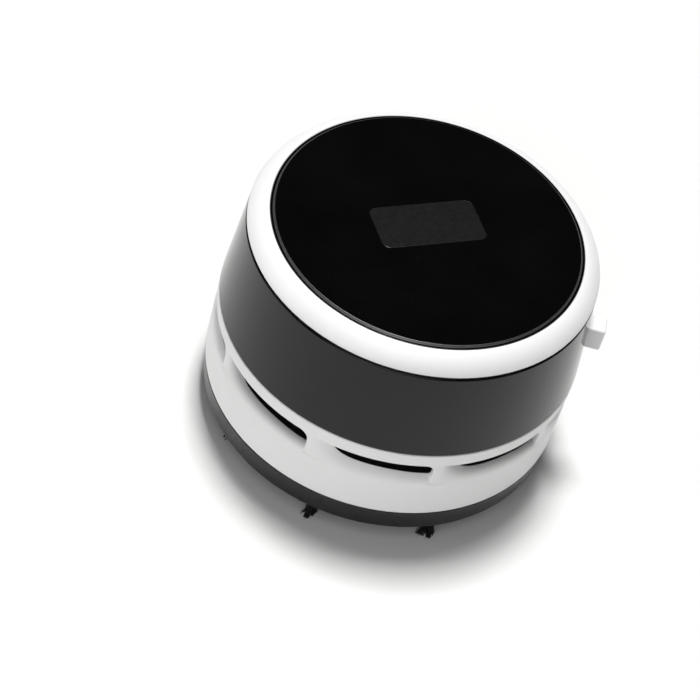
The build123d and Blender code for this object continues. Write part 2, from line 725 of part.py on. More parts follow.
# ================================================================ export
exhaust_band.part.label = "exhaust_band"
export_step(exhaust_band.part, "parts/exhaust_band.step")
body_shell.part.label = "body_shell"
export_step(body_shell.part, "parts/body_shell.step")
motor_deck.part.label = "motor_deck"
export_step(motor_deck.part, "parts/motor_deck.step")
fan_base.part.label = "fan_base"
export_step(fan_base.part, "parts/fan_base.step")
fan_base_screws.part.label = "fan_base_screws"
export_step(fan_base_screws.part, "parts/fan_base_screws.step")
shell_screws.part.label = "shell_screws"
export_step(shell_screws.part, "parts/shell_screws.step")
filter_frame.part.label = "filter_frame"
export_step(filter_frame.part, "parts/filter_frame.step")
filter_media.part.label = "filter_media"
export_step(filter_media.part, "parts/filter_media.step")
motor_can.part.label = "motor_can"
export_step(motor_can.part, "parts/motor_can.step")
motor_screws.part.label = "motor_screws"
export_step(motor_screws.part, "parts/motor_screws.step")
motor_magnets.part.label = "motor_magnets"
export_step(motor_magnets.part, "parts/motor_magnets.step")
bearing_lower.part.label = "bearing_lower"
export_step(bearing_lower.part, "parts/bearing_lower.step")
bearing_upper.part.label = "bearing_upper"
export_step(bearing_upper.part, "parts/bearing_upper.step")
motor_end_cap.part.label = "motor_end_cap"
export_step(motor_end_cap.part, "parts/motor_end_cap.step")
motor_terminals.part.label = "motor_terminals"
export_step(motor_terminals.part, "parts/motor_terminals.step")
motor_brushes.part.label = "motor_brushes"
export_step(motor_brushes.part, "parts/motor_brushes.step")
motor_shaft.part.label = "motor_shaft"
export_step(motor_shaft.part, "parts/motor_shaft.step")
armature_core.part.label = "armature_core"
export_step(armature_core.part, "parts/armature_core.step")
armature_windings.part.label = "armature_windings"
export_step(armature_windings.part, "parts/armature_windings.step")
commutator.part.label = "commutator"
export_step(commutator.part, "parts/commutator.step")
impeller.part.label = "impeller"
export_step(impeller.part, "parts/impeller.step")
aa_cells.part.label = "aa_cells"
export_step(aa_cells.part, "parts/aa_cells.step")
battery_cradles.part.label = "battery_cradles"
export_step(battery_cradles.part, "parts/battery_cradles.step")
contact_holders.part.label = "contact_holders"
export_step(contact_holders.part, "parts/contact_holders.step")
contact_positive.part.label = "contact_positive"
export_step(contact_positive.part, "parts/contact_positive.step")
contact_negative.part.label = "contact_negative"
export_step(contact_negative.part, "parts/contact_negative.step")
contact_bridge.part.label = "contact_bridge"
export_step(contact_bridge.part, "parts/contact_bridge.step")
battery_springs.part.label = "battery_springs"
export_step(battery_springs.part, "parts/battery_springs.step")
switch_body.part.label = "switch_body"
export_step(switch_body.part, "parts/switch_body.step")
switch_terminals.part.label = "switch_terminals"
export_step(switch_terminals.part, "parts/switch_terminals.step")
switch_screws.part.label = "switch_screws"
export_step(switch_screws.part, "parts/switch_screws.step")
switch_slider.part.label = "switch_slider"
export_step(switch_slider.part, "parts/switch_slider.step")
switch_knob.part.label = "switch_knob"
export_step(switch_knob.part, "parts/switch_knob.step")
lead_battery_switch.part.label = "lead_battery_switch"
export_step(lead_battery_switch.part, "parts/lead_battery_switch.step")
lead_switch_motor.part.label = "lead_switch_motor"
export_step(lead_switch_motor.part, "parts/lead_switch_motor.step")
lead_battery_motor.part.label = "lead_battery_motor"
export_step(lead_battery_motor.part, "parts/lead_battery_motor.step")
dust_tray.part.label = "dust_tray"
export_step(dust_tray.part, "parts/dust_tray.step")
brush_tufts.part.label = "brush_tufts"
export_step(brush_tufts.part, "parts/brush_tufts.step")
tray_seal.part.label = "tray_seal"
export_step(tray_seal.part, "parts/tray_seal.step")
lid_gasket.part.label = "lid_gasket"
export_step(lid_gasket.part, "parts/lid_gasket.step")
lid_frame.part.label = "lid_frame"
export_step(lid_frame.part, "parts/lid_frame.step")
lid_ring.part.label = "lid_ring"
export_step(lid_ring.part, "parts/lid_ring.step")
lid_disc.part.label = "lid_disc"
export_step(lid_disc.part, "parts/lid_disc.step")
label_plate.part.label = "label_plate"
export_step(label_plate.part, "parts/label_plate.step")
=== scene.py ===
"""Desktop mini vacuum cleaner: the looks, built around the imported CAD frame.

Lengths in this script are millimetres until a mesh is made. Angles named in the design frame are
counted from the side switch, which faces midway between +X and +Y of the row frame.
"""

import math
import random

import bmesh
import bpy
import numpy as np
from mathutils import Matrix, Vector


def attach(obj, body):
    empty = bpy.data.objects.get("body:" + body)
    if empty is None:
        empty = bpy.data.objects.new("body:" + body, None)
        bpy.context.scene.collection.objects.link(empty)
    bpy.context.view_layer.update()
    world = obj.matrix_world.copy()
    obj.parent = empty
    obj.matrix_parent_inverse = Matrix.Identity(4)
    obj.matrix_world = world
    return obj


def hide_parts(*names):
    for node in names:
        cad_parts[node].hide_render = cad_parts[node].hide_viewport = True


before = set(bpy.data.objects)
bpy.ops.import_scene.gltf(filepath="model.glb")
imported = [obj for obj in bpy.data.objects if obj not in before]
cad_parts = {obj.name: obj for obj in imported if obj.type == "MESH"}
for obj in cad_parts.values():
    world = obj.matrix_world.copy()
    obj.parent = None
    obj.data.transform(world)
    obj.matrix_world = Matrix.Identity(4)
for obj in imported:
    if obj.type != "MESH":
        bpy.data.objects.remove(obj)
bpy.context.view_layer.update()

TURN = math.radians(45.0)
SHOT = math.radians(40.0)      # azimuth of the main view
MM = 0.001
SCOOP_END = -110.2             # the first scoop's deep end, and its length round the band
SCOOP_ARC = 38.3

# ---------------------------------------------------------------- camera
camera_data = bpy.data.cameras.new("main_camera")
camera_data.lens = 128.571
camera_data.sensor_width = 36.0
camera_data.clip_start = 0.01
camera_data.clip_end = 20.0
camera = bpy.data.objects.new("main_camera", camera_data)
bpy.context.scene.collection.objects.link(camera)
right = Vector((0.9505726712437544, 0.23524906600376583, 0.2026560476000377))
up = Vector((-0.3101418656006874, 0.6879238212313202, 0.6561804929927617))
back = Vector((0.014953925445783573, -0.6865993687201107, 0.7268821685712943))
placed = Matrix.Identity(4)
for column, axis in enumerate((right, up, back)):
    for row in range(3):
        placed[row][column] = axis[row]
placed.translation = Vector((0.0, -0.4046906, 0.4429136))
camera.matrix_world = Matrix.Rotation(SHOT, 4, "Z") @ placed
bpy.context.scene.camera = camera
bpy.context.scene.view_settings.view_transform = "Standard"


def seen(x, y, z):
    """A point given as the main view sees it: x to its right, y away from it, z up."""
    return Matrix.Rotation(SHOT, 4, "Z") @ Vector((x, y, z))


# ---------------------------------------------------------------- light and floor
def softbox(name, at, aim, size, power, colour, spread=180.0):
    data = bpy.data.lights.new(name, "AREA")
    data.shape = "RECTANGLE"
    data.size, data.size_y = size
    data.energy = power
    data.color = colour
    data.spread = math.radians(spread)
    lamp = bpy.data.objects.new(name, data)
    bpy.context.scene.collection.objects.link(lamp)
    lamp.location = at
    lamp.rotation_mode = "QUATERNION"
    lamp.rotation_quaternion = (aim - at).to_track_quat("-Z", "Y")
    return lamp


def around(side, height, far=1.25):
    """A point by its bearing round the object, in degrees from the camera's side towards its left, and its elevation."""
    a, e = math.radians(side), math.radians(height)
    return seen(-math.sin(a) * math.cos(e) * far, -math.cos(a) * math.cos(e) * far, math.sin(e) * far)


middle = Vector((0.0, 0.0, 0.03))
softbox("key_softbox", around(160.0, 80.0), middle, (0.25, 0.25), 15.8, (1.0, 1.0, 1.0))
softbox("front_high_softbox", around(0.0, 60.0), middle, (0.9, 0.9), 2.4, (1.0, 1.0, 1.0))
softbox("front_softbox", around(0.0, 35.0), middle, (0.6, 0.6), 1.5, (1.0, 1.0, 1.0))
softbox("front_low_softbox", around(20.0, 15.0), middle, (0.6, 0.6), 1.6, (1.0, 1.0, 1.0))
softbox("left_low_softbox", around(70.0, 12.0), middle, (0.6, 0.6), 1.25, (1.0, 1.0, 1.0))

world = bpy.data.worlds.new("studio")
world.use_nodes = True
bpy.context.scene.world = world
sky = world.node_tree.nodes["Background"]
sky.inputs["Color"].default_value = (1.0, 0.93, 0.91, 1.0)
sky.inputs["Strength"].default_value = 0.006


# ---------------------------------------------------------------- materials
class Nodes:
    """A node tree with short calls for the few nodes that the finishes share."""

    def __init__(self, name):
        self.material = bpy.data.materials.new(name)
        self.material.use_nodes = True
        self.tree = self.material.node_tree
        self.shader = self.tree.nodes["Principled BSDF"]
        self.coords = self.add("ShaderNodeTexCoord")

    def add(self, kind, **settings):
        node = self.tree.nodes.new(kind)
        for key, value in settings.items():
            setattr(node, key, value)
        return node

    def link(self, a, b):
        self.tree.links.new(a, b)

    def mapped(self, stretch=(1, 1, 1), turn=(0, 0, 0)):
        node = self.add("ShaderNodeMapping")
        node.inputs["Scale"].default_value = stretch
        node.inputs["Rotation"].default_value = turn
        self.link(self.coords.outputs["Object"], node.inputs["Vector"])
        return node.outputs["Vector"]

    def noise(self, size, detail=3.0, rough=0.55, vector=None, distort=0.0):
        """Noise whose blobs are about size millimetres across."""
        node = self.add("ShaderNodeTexNoise")
        node.inputs["Scale"].default_value = 1.0 / (size * MM)
        node.inputs["Detail"].default_value = detail
        node.inputs["Roughness"].default_value = rough
        node.inputs["Distortion"].default_value = distort
        self.link(vector or self.coords.outputs["Object"], node.inputs["Vector"])
        return node.outputs["Fac"]

    def remap(self, value, a, b, to_a, to_b):
        node = self.add("ShaderNodeMapRange", clamp=True)
        for key, number in zip(("From Min", "From Max", "To Min", "To Max"), (a, b, to_a, to_b)):
            node.inputs[key].default_value = number
        self.link(value, node.inputs["Value"])
        return node.outputs["Result"]

    def maths(self, kind, a, b):
        node = self.add("ShaderNodeMath", operation=kind)
        for slot, value in zip(node.inputs, (a, b)):
            if isinstance(value, (int, float)):
                slot.default_value = value
            else:
                self.link(value, slot)
        return node.outputs["Value"]

    def ramp(self, value, stops):
        node = self.add("ShaderNodeValToRGB")
        bar = node.color_ramp
        while len(bar.elements) < len(stops):
            bar.elements.new(0.5)
        for element, (where, colour) in zip(bar.elements, stops):
            element.position = where
            element.color = (*colour, 1.0)
        self.link(value, node.inputs["Fac"])
        return node.outputs["Color"]

    def colour(self, socket):
        self.link(socket, self.shader.inputs["Base Color"])

    def roughness(self, socket):
        self.link(socket, self.shader.inputs["Roughness"])

    def bump(self, height, depth, strength=1.0, after=None):
        """Adds relief that is depth millimetres from 0 to 1 of height."""
        node = self.add("ShaderNodeBump")
        node.inputs["Distance"].default_value = depth * MM
        node.inputs["Strength"].default_value = strength
        self.link(height, node.inputs["Height"])
        if after is not None:
            self.link(after, node.inputs["Normal"])
        self.link(node.outputs["Normal"], self.shader.inputs["Normal"])
        return node.outputs["Normal"]

    def set(self, **values):
        for key, value in values.items():
            self.shader.inputs[key.replace("_", " ")].default_value = value


def between(c, factor):
    return tuple(min(1.0, x * factor) for x in c)


def moulded(name, colour, rough, grain=0.35, relief=0.01, vary=0.12, ior=1.5, sheen=0.0):
    """Moulded plastic: faint flow marks in the colour, handled patches in the gloss, fine tool texture."""
    n = Nodes(name)
    flow = n.noise(9.0, 4.0, 0.6, distort=0.6)
    n.colour(n.ramp(flow, [(0.3, between(colour, 1 - vary)), (0.7, between(colour, 1 + vary))]))
    n.roughness(n.remap(n.noise(5.0, 5.0, 0.65), 0.3, 0.7, max(0.03, rough * 0.82), rough * 1.2))
    n.bump(n.noise(grain, 2.0, 0.5), relief)
    n.set(IOR=ior)
    if sheen:
        n.set(Sheen_Weight=sheen, Sheen_Roughness=0.5)
    return n.material


def metal(name, colour, rough, stretch=(1, 1, 1), relief=0.004, spots=0.12):
    """Plated or drawn metal with marks drawn out along one direction and slightly tarnished patches."""
    n = Nodes(name)
    tarnish = n.noise(2.2, 4.0, 0.6)
    n.colour(n.ramp(tarnish, [(0.3, between(colour, 1 - spots)), (0.65, colour), (0.9, between(colour, 1.08))]))
    lines = n.noise(0.35, 3.0, 0.7, n.mapped(stretch))
    n.roughness(n.remap(lines, 0.25, 0.75, rough * 0.7, rough * 1.3))
    n.bump(lines, relief)
    n.set(Metallic=1.0)
    return n.material


def gloss_black_shell():
    n = Nodes("black_gloss_shell")
    n.colour(n.ramp(n.noise(14.0, 3.0), [(0.3, (0.0035, 0.0035, 0.004)), (0.7, (0.0065, 0.0065, 0.007))]))
    smudge = n.noise(11.0, 5.0, 0.6, distort=1.2)
    hair = n.noise(0.5, 2.0, 0.5, n.mapped((1.0, 1.0, 9.0), (0.5, 0.2, 0.0)))
    level = n.maths("ADD", n.remap(smudge, 0.35, 0.75, 0.10, 0.17), n.remap(hair, 0.62, 0.8, 0.0, 0.06))
    n.roughness(level)
    n.bump(n.noise(2.6, 2.0, 0.4), 0.0022)
    n.set(IOR=1.38)
    return n.material


def lid_black():
    """Polished black acrylic. The slope round its raised middle is sawn, and a little frosted."""
    n = Nodes("black_lid_panel")
    tilt = n.add("ShaderNodeSeparateXYZ")
    n.link(n.add("ShaderNodeNewGeometry").outputs["True Normal"], tilt.inputs["Vector"])
    sawn = n.remap(n.maths("ABSOLUTE", n.maths("SUBTRACT", tilt.outputs["Z"], 0.707), 0.0), 0.275, 0.286, 1.0, 0.0)
    black = n.ramp(n.noise(20.0, 3.0), [(0.3, (0.0016, 0.0016, 0.0018)), (0.7, (0.0028, 0.0028, 0.003))])
    edge = n.add("ShaderNodeMix", data_type="RGBA")
    n.link(sawn, edge.inputs["Factor"])
    n.link(black, edge.inputs["A"])
    n.link(n.ramp(n.noise(0.8, 3.0, 0.7), [(0.3, (0.030, 0.030, 0.030)), (0.7, (0.055, 0.055, 0.055))]), edge.inputs["B"])
    n.colour(edge.outputs["Result"])
    wiped = n.noise(6.0, 4.0, 0.6, n.mapped((1.0, 0.35, 1.0), (0, 0, 0.7)), distort=0.8)
    specks = n.noise(0.28, 1.0, 0.4)
    level = n.maths("ADD", n.remap(wiped, 0.4, 0.75, 0.045, 0.10), n.remap(specks, 0.74, 0.82, 0.0, 0.25))
    n.roughness(n.maths("ADD", level, n.maths("MULTIPLY", sawn, 0.30)))
    n.link(n.remap(sawn, 0.0, 1.0, 0.5, 1.0), n.shader.inputs["Specular IOR Level"])
    n.bump(n.noise(5.0, 1.0, 0.3), 0.0012)
    n.set(IOR=1.49)
    return n.material


def label_film():
    n = Nodes("label_grey")
    n.colour(n.ramp(n.noise(0.25, 2.0, 0.6), [(0.25, (0.0058, 0.0058, 0.006)), (0.75, (0.0082, 0.0082, 0.0085))]))
    n.roughness(n.remap(n.noise(1.2, 4.0, 0.6), 0.3, 0.7, 0.25, 0.31))
    n.bump(n.noise(0.16, 2.0, 0.5), 0.0015)
    n.set(IOR=1.4)
    return n.material


def white_plastic(name="white_trim", vented=False):
    """White moulding. The vented one has painted shade: it darkens towards the back of its outside recesses, by a
    different amount in each vent.
    """
    n = Nodes(name)
    white = n.ramp(n.noise(16.0, 4.0, 0.6, distort=0.5), [(0.3, (0.85, 0.85, 0.85)), (0.7, (0.87, 0.87, 0.87))])
    if vented:
        parts = n.add("ShaderNodeSeparateXYZ")
        n.link(n.coords.outputs["Object"], parts.inputs["Vector"])
        flat = n.add("ShaderNodeCombineXYZ")
        n.link(parts.outputs["X"], flat.inputs["X"])
        n.link(parts.outputs["Y"], flat.inputs["Y"])
        reach = n.add("ShaderNodeVectorMath", operation="LENGTH")
        n.link(flat.outputs["Vector"], reach.inputs[0])
        facing = n.add("ShaderNodeVectorMath", operation="DOT_PRODUCT")
        n.link(flat.outputs["Vector"], facing.inputs[0])
        n.link(n.add("ShaderNodeNewGeometry").outputs["Normal"], facing.inputs[1])
        outside = n.maths("GREATER_THAN", facing.outputs["Value"], 0.0)
        # Painted shade in the vents: the white darkens with depth into each outside recess, between 21.5 and 29 mm up,
        # more in some vents than in others.
        depth = n.maths("SUBTRACT", 0.04258, reach.outputs["Value"])
        around_axis = n.maths("ARCTAN2", parts.outputs["Y"], parts.outputs["X"])
        vent = n.maths("DIVIDE", n.maths("SUBTRACT", around_axis, math.radians(SCOOP_END - SCOOP_ARC - 1.0) + TURN), math.radians(40.0))
        uneven = n.maths("COSINE", n.maths("MULTIPLY", n.maths("FLOOR", vent, 0.0), 8.0 * math.pi / 9.0), 0.0)
        shade_amount = n.remap(uneven, -0.9, 1.0, 0.03, 0.51)
        painted_shade = n.maths("MULTIPLY", n.remap(depth, 0.00010, 0.00100, 0.0, 1.0), outside)
        painted_shade = n.maths("MULTIPLY", painted_shade, shade_amount)
        painted_shade = n.maths("MULTIPLY", painted_shade, n.maths("GREATER_THAN", parts.outputs["Z"], 0.0215))
        painted_shade = n.maths("MULTIPLY", painted_shade, n.maths("LESS_THAN", parts.outputs["Z"], 0.0290))
        # The painted shade multiplies the white towards black.
        shade_mix = n.add("ShaderNodeMix", data_type="RGBA", blend_type="MULTIPLY")
        n.link(painted_shade, shade_mix.inputs["Factor"])
        n.link(white, shade_mix.inputs["A"])
        shade_mix.inputs["B"].default_value = (0.0, 0.0, 0.0, 1.0)
        white = shade_mix.outputs["Result"]
    n.colour(white)
    n.roughness(n.remap(n.noise(4.0, 3.0, 0.5), 0.3, 0.7, 0.34, 0.38))
    n.bump(n.noise(0.5, 2.0, 0.5), 0.0012)
    n.set(IOR=1.5, Subsurface_Weight=0.06, Subsurface_Scale=0.001)
    n.shader.inputs["Subsurface Radius"].default_value = (1.0, 1.0, 1.0)
    return n.material


def felt_cloth():
    """Non-woven filter cloth: matted fibres, pressed dimples in a grid."""
    n = Nodes("filter_cloth")
    fibres = n.noise(0.45, 6.0, 0.75, distort=2.0)
    dots = n.add("ShaderNodeTexVoronoi")
    dots.inputs["Scale"].default_value = 1.0 / (1.6 * MM)
    dots.inputs["Randomness"].default_value = 0.15
    n.link(n.coords.outputs["Object"], dots.inputs["Vector"])
    press = n.remap(dots.outputs["Distance"], 0.12, 0.3, 0.0, 1.0)
    n.colour(n.ramp(fibres, [(0.25, (0.60, 0.59, 0.57)), (0.7, (0.84, 0.83, 0.81))]))
    n.set(Roughness=0.92, Sheen_Weight=0.35, Sheen_Roughness=0.6)
    n.bump(n.maths("ADD", n.maths("MULTIPLY", fibres, 0.6), press), 0.12)
    return n.material


def cell_wrap():
    """Foil jacket: dark body, lighter ring at the positive end, steel ends. One cell lies each way round."""
    n = Nodes("cell_jacket")
    turned = n.add("ShaderNodeMapping")
    turned.inputs["Rotation"].default_value = (0.0, 0.0, -TURN)
    n.link(n.coords.outputs["Object"], turned.inputs["Vector"])
    parts = n.add("ShaderNodeSeparateXYZ")
    n.link(turned.outputs["Vector"], parts.inputs["Vector"])
    side = n.maths("SIGN", parts.outputs["Y"], 0.0)
    along = n.maths("MULTIPLY", n.maths("MULTIPLY", parts.outputs["X"], side), 1000.0)
    # along runs from -25 mm, the flat end, to +25 mm, the nub, on both cells
    place = n.remap(along, -26.0, 26.0, 0.0, 1.0)
    steel, dark, light = (0.62, 0.62, 0.63), (0.018, 0.045, 0.10), (0.55, 0.58, 0.60)
    bar = n.add("ShaderNodeValToRGB")
    bar.color_ramp.interpolation = "CONSTANT"
    stops = [(0.0, steel), (0.026, dark), (0.72, light), (0.735, dark), (0.75, light), (0.962, steel)]
    while len(bar.color_ramp.elements) < len(stops):
        bar.color_ramp.elements.new(0.5)
    for element, (where, colour) in zip(bar.color_ramp.elements, stops):
        element.position = where
        element.color = (*colour, 1.0)
    n.link(place, bar.inputs["Fac"])
    scuffs = n.noise(1.5, 5.0, 0.7)
    blend = n.add("ShaderNodeMix", data_type="RGBA", blend_type="MULTIPLY")
    blend.inputs["Factor"].default_value = 0.5
    n.link(bar.outputs["Color"], blend.inputs["A"])
    n.link(n.ramp(scuffs, [(0.3, (0.75, 0.75, 0.75)), (0.6, (1.0, 1.0, 1.0))]), blend.inputs["B"])
    n.colour(blend.outputs["Result"])
    n.roughness(n.remap(scuffs, 0.3, 0.7, 0.22, 0.36))
    n.set(Metallic=0.75)
    n.bump(n.noise(3.0, 2.0), 0.01)
    return n.material


def windings():
    """Enamelled wire laid in turns round each pole."""
    n = Nodes("copper")
    lines = n.add("ShaderNodeTexWave", wave_type="BANDS", bands_direction="Z")
    lines.inputs["Scale"].default_value = 1.0 / (0.22 * MM) / 6.283
    lines.inputs["Distortion"].default_value = 0.6
    n.link(n.coords.outputs["Object"], lines.inputs["Vector"])
    n.colour(n.ramp(lines.outputs["Fac"], [(0.0, (0.22, 0.07, 0.02)), (0.6, (0.72, 0.30, 0.12))]))
    n.set(Metallic=1.0, Roughness=0.3)
    n.bump(lines.outputs["Fac"], 0.06)
    return n.material


FINISH = {
    "black_gloss_shell": gloss_black_shell(),
    "black_lid_panel": lid_black(),
    "label_grey": label_film(),
    "white_trim": white_plastic(),
    "black_matte": moulded("black_matte", (0.012, 0.012, 0.013), 0.5, 0.3, 0.012),
    "tray_black": moulded("tray_black", (0.0065, 0.0065, 0.007), 0.30, 0.35, 0.006, ior=1.45),
    "seal_rubber": moulded("seal_rubber", (0.006, 0.006, 0.006), 0.72, 0.2, 0.015),
    "bristle": moulded("bristle", (0.0025, 0.0025, 0.0025), 0.55, 0.12, 0.004, ior=1.35),
    "steel": metal("steel", (0.62, 0.62, 0.64), 0.28, (1, 1, 6)),
    "can_steel": metal("can_steel", (0.60, 0.60, 0.61), 0.24, (1, 1, 12)),
    "spring_steel": metal("spring_steel", (0.70, 0.69, 0.67), 0.2, (1, 1, 3)),
    "magnet": moulded("magnet", (0.035, 0.035, 0.037), 0.55, 0.25, 0.02),
    "copper": windings(),
    "brass": metal("brass", (0.72, 0.52, 0.22), 0.26, (1, 1, 5)),
    "carbon": moulded("carbon", (0.02, 0.02, 0.02), 0.45, 0.15, 0.02),
    "impeller_white": moulded("impeller_white", (0.70, 0.70, 0.67), 0.42, 0.4, 0.006, 0.05),
    "filter_frame": moulded("filter_frame", (0.045, 0.045, 0.047), 0.48, 0.3, 0.01),
    "filter_cloth": felt_cloth(),
    "cell_jacket": cell_wrap(),
    "motor_nylon": moulded("motor_nylon", (0.72, 0.70, 0.64), 0.4, 0.3, 0.008, 0.06),
    "switch_black": moulded("switch_black", (0.012, 0.012, 0.012), 0.42, 0.3, 0.01),
    "wire_red": moulded("wire_red", (0.45, 0.012, 0.012), 0.38, 0.25, 0.01),
    "wire_black": moulded("wire_black", (0.010, 0.010, 0.010), 0.38, 0.25, 0.01),
}

CAD_FINISH = {
    "motor_deck": "black_matte", "fan_base": "black_matte", "fan_base_screws": "steel", "shell_screws": "steel",
    "filter_frame": "filter_frame", "filter_media": "filter_cloth", "motor_can": "can_steel", "motor_screws": "steel",
    "motor_magnets": "magnet", "bearing_lower": "brass", "bearing_upper": "brass", "motor_end_cap": "motor_nylon",
    "motor_terminals": "brass", "motor_brushes": "carbon", "motor_shaft": "steel", "armature_core": "can_steel",
    "armature_windings": "copper", "commutator": "brass", "impeller": "impeller_white", "aa_cells": "cell_jacket",
    "battery_cradles": "black_matte", "contact_holders": "black_matte", "contact_positive": "spring_steel",
    "contact_negative": "spring_steel", "contact_bridge": "spring_steel", "battery_springs": "spring_steel",
    "switch_body": "switch_black", "switch_terminals": "brass", "switch_screws": "steel", "switch_slider": "switch_black",
    "lead_battery_switch": "wire_red", "lead_switch_motor": "wire_red", "lead_battery_motor": "wire_black",
    "lid_frame": "black_matte", "tray_seal": "seal_rubber",
}
VENTED = white_plastic("white_trim_vented", True)
for node, finish in CAD_FINISH.items():
    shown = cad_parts[node]
    shown.data.materials.clear()
    shown.data.materials.append(FINISH[finish])


# ---------------------------------------------------------------- mesh tools
def keep(name, points, faces, finish, body, stands_for, normals=None):
    """Makes a piece from millimetre points, smooth-shaded, on a body, in place of the CAD nodes it stands for."""
    mesh = bpy.data.meshes.new(name)
    mesh.from_pydata((np.asarray(points) * MM).tolist(), [], faces if isinstance(faces, list) else faces.tolist())
    mesh.validate()
    mesh.polygons.foreach_set("use_smooth", np.ones(len(mesh.polygons), bool))
    mesh.materials.append(FINISH[finish])
    if normals is not None and len(mesh.vertices) == len(normals):
        mesh.normals_split_custom_set_from_vertices(normals.tolist())
    mesh.update()
    piece = bpy.data.objects.new(name, mesh)
    bpy.context.scene.collection.objects.link(piece)
    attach(piece, body)
    if stands_for:
        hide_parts(*stands_for)
    return piece


def rounded(corners, step=9.0):
    """A closed outline in (radius, height) with every corner (r, z, fillet) rounded, and the outward normal at each point.
    The corners run anticlockwise, with the radius to the right and the height up."""
    points, normals = [], []
    count = len(corners)
    for i, (x, y, fillet) in enumerate(corners):
        before = np.array(corners[i - 1][:2], float)
        here = np.array((x, y), float)
        after = np.array(corners[(i + 1) % count][:2], float)
        a, b = here - before, after - here
        la, lb = np.linalg.norm(a), np.linalg.norm(b)
        a, b = a / la, b / lb
        bend = math.atan2(a[0] * b[1] - a[1] * b[0], a @ b)
        if x < 1e-6:
            points.append(here)
            normals.append(np.array((0.0, 1.0 if b[0] < -0.5 or a[0] < -0.5 else -1.0)))
            continue
        reach = min(fillet * abs(math.tan(bend / 2)), 0.49 * la, 0.49 * lb)
        start, end = here - a * reach, here + b * reach
        na, nb = np.array((a[1], -a[0])), np.array((b[1], -b[0]))
        radius = reach / max(1e-9, abs(math.tan(bend / 2)))
        side = 1.0 if bend > 0 else -1.0
        centre = start - na * radius * side
        pieces = max(2, int(math.ceil(abs(math.degrees(bend)) / step)))
        for k in range(pieces + 1):
            turn = bend * k / pieces
            c, s = math.cos(turn), math.sin(turn)
            normal = np.array((na[0] * c - na[1] * s, na[0] * s + na[1] * c))
            points.append(centre + normal * radius * side)
            normals.append(normal)
    return np.array(points), np.array(normals)


def lathe(name, corners, finish, body, stands_for, steps=288, step=9.0):
    """A ring turned about the body axis from a rounded outline that stays clear of the axis."""
    outline, facing = rounded(corners, step)
    angle = np.linspace(0.0, 2 * math.pi, steps, endpoint=False)
    c, s = np.cos(angle)[:, None], np.sin(angle)[:, None]
    r, z = outline[:, 0][None], outline[:, 1][None]
    points = np.stack([r * c, r * s, np.broadcast_to(z, (steps, len(outline)))], -1).reshape(-1, 3)
    nr, nz = facing[:, 0][None], facing[:, 1][None]
    normals = np.stack([nr * c, nr * s, np.broadcast_to(nz, (steps, len(outline)))], -1).reshape(-1, 3)
    m = len(outline)
    i, j = np.meshgrid(np.arange(steps), np.arange(m), indexing="ij")
    i2, j2 = (i + 1) % steps, (j + 1) % m
    faces = np.stack([i * m + j, i2 * m + j, i2 * m + j2, i * m + j2], -1).reshape(-1, 4)
    return keep(name, points, faces, finish, body, stands_for, normals)


def levels(start, *runs):
    """Grid levels from start through each (end, spacing)."""
    out = [start]
    for end, spacing in runs:
        count = max(1, round(abs(end - out[-1]) / spacing))
        out += list(np.linspace(out[-1], end, count + 1)[1:])
    return np.array(out)


def smax(a, b, k):
    """The larger of two fields, eased over k millimetres: it rounds the edge where two walls meet."""
    h = np.maximum(k - np.abs(a - b), 0.0)
    return np.maximum(a, b) + h * h / (4.0 * k)


def smin(a, b, k):
    return -smax(-a, -b, k)


def pill(y, z, half_y, half_z, corner):
    """Distance to a rectangle with rounded corners."""
    qy, qz = np.abs(y) - half_y + corner, np.abs(z) - half_z + corner
    return np.hypot(np.maximum(qy, 0), np.maximum(qz, 0)) + np.minimum(np.maximum(qy, qz), 0) - corner


def from_round(u, v, w):
    """Angle in the design frame, height, radius -> row frame."""
    a = np.radians(u) + TURN
    return np.stack([w * np.cos(a), w * np.sin(a), v], -1)


def to_round(p):
    return np.degrees(np.arctan2(p[:, 1], p[:, 0]) - TURN) % 360.0, p[:, 2], np.hypot(p[:, 0], p[:, 1])


def from_square(u, v, w):
    """Towards the switch, across, up -> row frame."""
    c, s = math.cos(TURN), math.sin(TURN)
    return np.stack([u * c - v * s, u * s + v * c, w], -1)


def to_square(p):
    c, s = math.cos(TURN), math.sin(TURN)
    return p[:, 0] * c + p[:, 1] * s, p[:, 1] * c - p[:, 0] * s, p[:, 2]


